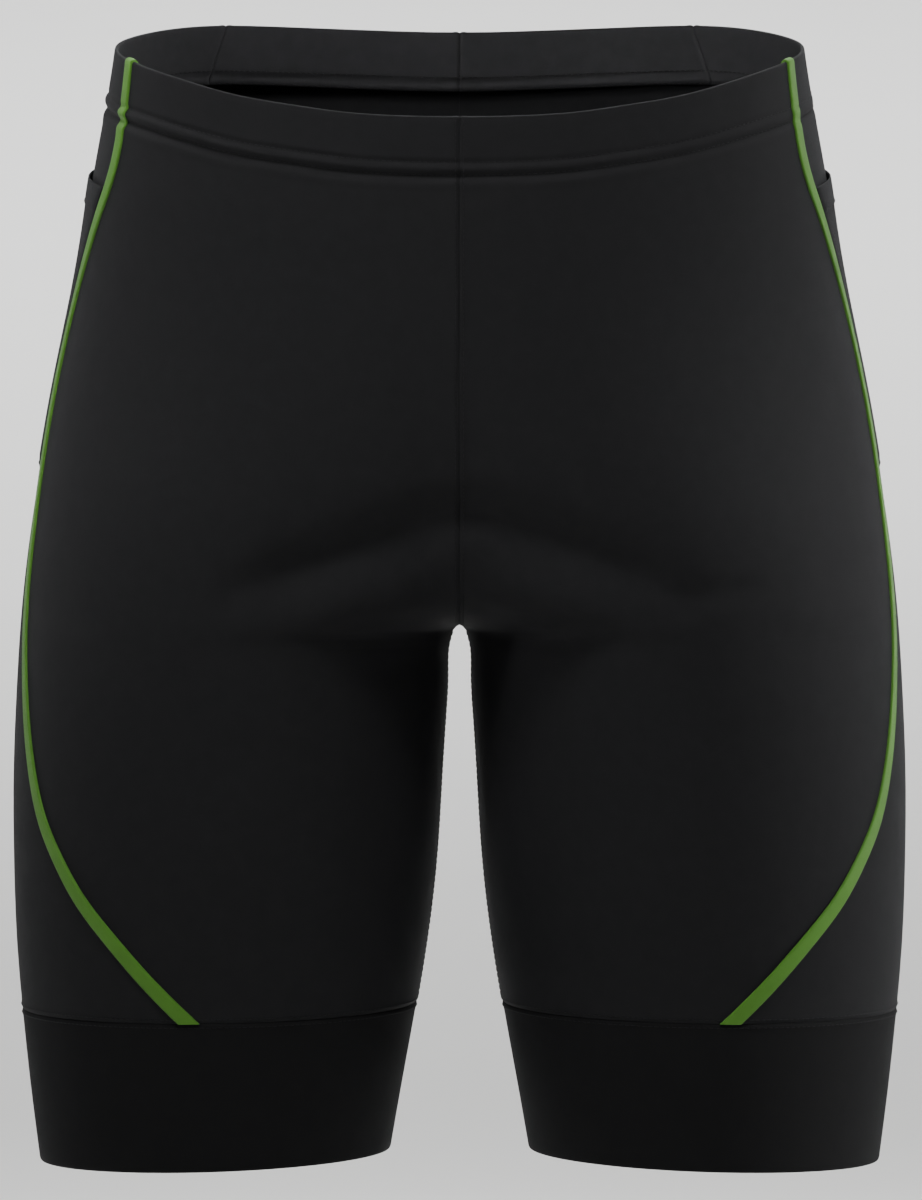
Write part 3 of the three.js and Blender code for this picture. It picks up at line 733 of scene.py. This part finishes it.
for word, side in SIDES:
    for kind in ("front", "side", "back"):
        panel(kind, word, side)
for word, side in SIDES:
    cuff(word, side)
for word, side in SIDES:
    strip(word, side)
    pocket(word, side)
elastic()

# Stitches: pitch, length and width of a thread, in mm

SEAM_STITCH = (2.6, 2.1, 0.36)
TAPE_STITCH = (2.2, 1.7, 0.3)
HEM_STITCH = (2.5, 2.0, 0.34)
SEAM_AWAY, SEAM_UP = 1.7, 0.24         # a seam's threads: distance from it, height over the cloth
TAPE_AWAY, TAPE_UP = 2.3, 0.93
HEM_UP = 0.03
CASING_STITCHES = (19.5, 25.0)         # below the waist edge
BESIDE = SEAM_STEPS[-1]
HUMP_SIDES, HUMP_RINGS = 4, 4


def hump_faces():
    """Faces of one thread: a tube of rings, closed at both ends."""
    quads = [(3, 2, 1, 0), (12, 13, 14, 15)]
    for k in range(HUMP_RINGS - 1):
        for a in range(HUMP_SIDES):
            b = (a + 1) % HUMP_SIDES
            quads.append([HUMP_SIDES * k + i for i in (a, b, HUMP_SIDES + b, HUMP_SIDES + a)])
    return np.array(quads)


def stitch_lines(name, lines, material):
    """Threads as short humps; each line is its points, directions, pitch, length and width."""
    verts, faces, base = [], [], 0
    for points, out, pitch, length, width in lines:
        steps = np.linalg.norm(np.diff(points, axis=0), axis=1)
        run = np.concatenate([[0], np.cumsum(steps)])
        count = max(1, int(run[-1] / pitch))
        mids = (np.arange(count) + 0.5) * run[-1] / count
        rings = np.array((-0.5, -0.3, 0.3, 0.5)) * length
        lift = np.array((-0.12, 0.1, 0.1, -0.12)) * width * 2.2
        size = np.array((0.35, 1.0, 1.0, 0.35)) * width / 2
        at = mids[:, None] + rings[None, :]
        p = np.stack([np.interp(at, run, points[:, k]) for k in range(3)], -1)
        n = np.stack([np.interp(at, run, out[:, k]) for k in range(3)], -1)
        n /= np.linalg.norm(n, axis=-1, keepdims=True)
        t = p[:, -1] - p[:, 0]
        t /= np.linalg.norm(t, axis=-1, keepdims=True) + 1e-9
        b = np.cross(n, t[:, None, :])
        centre = p + n * lift[None, :, None]
        r = size[None, :, None]
        ring = np.stack([centre + b * r, centre + n * r, centre - b * r, centre - n * r], 2)
        verts.append(ring.reshape(-1, 3))
        first = HUMP_SIDES * HUMP_RINGS * np.arange(count)[:, None, None] + base
        faces.append((hump_faces()[None] + first).reshape(-1, 4))
        base += HUMP_SIDES * HUMP_RINGS * count
    make_piece(name, np.concatenate(verts) / 1000, np.concatenate(faces), material)


def seam_line(kind, rows, away, side, e, far=False):
    """Points and directions along a panel's first or second seam, e over the cloth."""
    spec = np.array([(BESIDE, away, 1.0)]) if far else np.array([(away, BESIDE, 0.0)])
    z, turn = locate(kind, rows, spec)
    c, d = spots(z, turn, side, rows[:, 5])
    return at_height(c, d, np.full(c.shape[:2], e))[:, 0], d[:, 0]


def across_line(kind, row, near, far, side, e):
    """A line across a panel, from near mm off its first seam to far mm off its second."""
    z, turn = locate(kind, row, columns((near,), (far,), 60))
    c, d = spots(z, turn, side, row[:, 5])
    return at_height(c, d, np.full(c.shape[:2], e))[0], d[0]


TOP_ROWS = edge_rows(np.linspace(1.5, POCKET_BELOW, 24))
ABOVE_CUFF = SEAM_ROW - 0.12
ALL_ROWS = np.concatenate([TOP_ROWS, lower_rows(np.linspace(0.1, ABOVE_CUFF, 240))])
RISE_ROWS = np.concatenate([TOP_ROWS, lower_rows(np.linspace(0.1, APEX_ROW, 120))])
LEG_SEAM_ROWS = lower_rows(np.linspace(APEX_ROW + 0.2, ABOVE_CUFF, 90))
# panel, its rows, whether the threads follow its second seam
SEAM_LINES = (
    ("front", RISE_ROWS, True), ("front", LEG_SEAM_ROWS, True),
    ("back", RISE_ROWS, True), ("back", LEG_SEAM_ROWS, True),
    ("side", ALL_ROWS, True), ("back", ALL_ROWS, False),
)
for word, side in SIDES:
    lines = [(*seam_line(kind, rows, SEAM_AWAY, side, SEAM_UP, far), *SEAM_STITCH)
             for kind, rows, far in SEAM_LINES]
    stitch_lines(f"threads_panels_{word}", lines, THREAD)
    lines = [(*seam_line(kind, ALL_ROWS, TAPE_AWAY, side, TAPE_UP), *TAPE_STITCH)
             for kind in ("front", "side")]
    stitch_lines(f"threads_stripe_{word}", lines, GREEN_THREAD)

# panel, distance kept from its first and second seams
ACROSS = (("front", 4.0, 0.6), ("side", 4.0, 0.6), ("back", 0.6, 0.6))
casing = []
for word, side in SIDES:
    lines = []
    for kind, near, far in ACROSS:
        for below in CASING_STITCHES:
            for fold in (0.0, math.pi):
                row = edge_rows(below, fold)
                casing.append((*across_line(kind, row, near, far, side, HEM_UP), *HEM_STITCH))
        row = lower_rows(SEAM_ROW - SEAM_AWAY / CUFF_ROW_STEP)
        lines.append((*across_line(kind, row, near, far, side, SEAM_UP), *SEAM_STITCH))
    turn = np.linspace(180, -180, 241)[None, :]
    z = CUFF_SEAM - SEAM_AWAY + CUFF_SEAM_TILT * np.cos(np.radians(turn))
    c, d = spots(z, turn, side, np.zeros(1))
    lines.append((at_height(c, d, np.full(turn.shape, SEAM_UP))[0], d[0], *SEAM_STITCH))
    for points, out in pocket_lines[word]:
        lines.append((points + 0.05 * out, out, *HEM_STITCH))
    stitch_lines(f"threads_cuff_{word}", lines, THREAD)
stitch_lines("threads_casing", casing, THREAD)

# Floor, light and camera, in metres

SPAN = 1200 * 0.43 / 1000              # height of the photograph: its pixels, at 0.43 mm each
TILT = math.radians(5)                 # the camera looks down by this angle
DISTANCE = 10.0
TARGET = Vector((0.0006, 0, -0.2383))
FLOOR_LEVEL, FLOOR_REACH = -0.62, 300.0


def floor():
    material, tree, shader = new_material("pale_floor")
    coords = tree.nodes.new("ShaderNodeTexCoord").outputs["Object"]
    colour = mix_colour(tree, noise(tree, coords, 3, 2), (0.78, 0.78, 0.77), (0.81, 0.81, 0.8))
    tree.links.new(colour, shader.inputs["Base Color"])
    shader.inputs["Roughness"].default_value = 0.9
    mesh = bpy.data.meshes.new("floor")
    corners = ((-1, -1), (1, -1), (1, 1), (-1, 1))
    verts = [(FLOOR_REACH * x, FLOOR_REACH * y, FLOOR_LEVEL) for x, y in corners]
    mesh.from_pydata(verts, [], [(0, 1, 2, 3)])
    mesh.materials.append(material)
    obj = bpy.data.objects.new("floor", mesh)
    bpy.context.scene.collection.objects.link(obj)


# name, place, aim, size, watts, spread in degrees
LIGHTS = (
    ("key", (-0.05, -1.55, 2.5), (0, 0, -0.2), (0.6, 0.6), 7.9, 50),
    ("soft_left", (-2.0, -1.6, 1.2), (-0.17, 0, 0.03), (0.5, 0.5), 0.75, 12),
    ("soft_right", (2.6, 0.35, 0.5), (0.12, 0, -0.3), (0.8, 0.8), 3.3, 22),
    ("rim_left", (-1.6, 0.9, 1.0), (-0.15, 0, -0.05), (0.5, 0.5), 0.3, 14),
    ("rim_right", (1.6, 0.9, 0.5), (0, 0, -0.2), (0.5, 1.4), 0.3, 70),
    ("back_key", (0.5, 1.6, 2.4), (0, 0, -0.2), (0.6, 0.6), 8.0, 50),
    ("floor_back", (0, 8.0, 5.0), (0, 8.0, 0), (26, 10), 2230, 150),
    ("floor_front", (0, -8.7, 5.0), (0, -8.7, 0), (26, 13), 2600, 50),
    ("floor_left", (-10.0, 0, 5.0), (-10.0, 0, 0), (14, 5), 520, 50),
    ("floor_right", (10.0, 0, 5.0), (10.0, 0, 0), (14, 5), 520, 50),
)


def area_light(name, place, aim, size, power, spread):
    data = bpy.data.lights.new(name, "AREA")
    data.shape = "RECTANGLE"
    data.size, data.size_y = size
    data.energy = power
    data.spread = math.radians(spread)
    obj = bpy.data.objects.new(name, data)
    obj.location = place
    obj.rotation_euler = (Vector(aim) - Vector(place)).to_track_quat("-Z", "Y").to_euler()
    bpy.context.scene.collection.objects.link(obj)


floor()
for light in LIGHTS:
    area_light(*light)

world = bpy.data.worlds.new("studio")
world.use_nodes = True
background = world.node_tree.nodes["Background"]
background.inputs["Color"].default_value = (0.93, 0.94, 0.95, 1)
background.inputs["Strength"].default_value = 0.03
bpy.context.scene.world = world

SENSOR = 36
camera = bpy.data.objects.new("camera", bpy.data.cameras.new("camera"))
bpy.context.scene.collection.objects.link(camera)
camera.data.sensor_width = SENSOR
camera.data.lens = SENSOR * DISTANCE / SPAN
camera.data.clip_end = 900
camera.location = TARGET + DISTANCE * Vector((0, -math.cos(TILT), math.sin(TILT)))
camera.rotation_euler = (math.pi / 2 - TILT, 0, 0)
bpy.context.scene.camera = camera
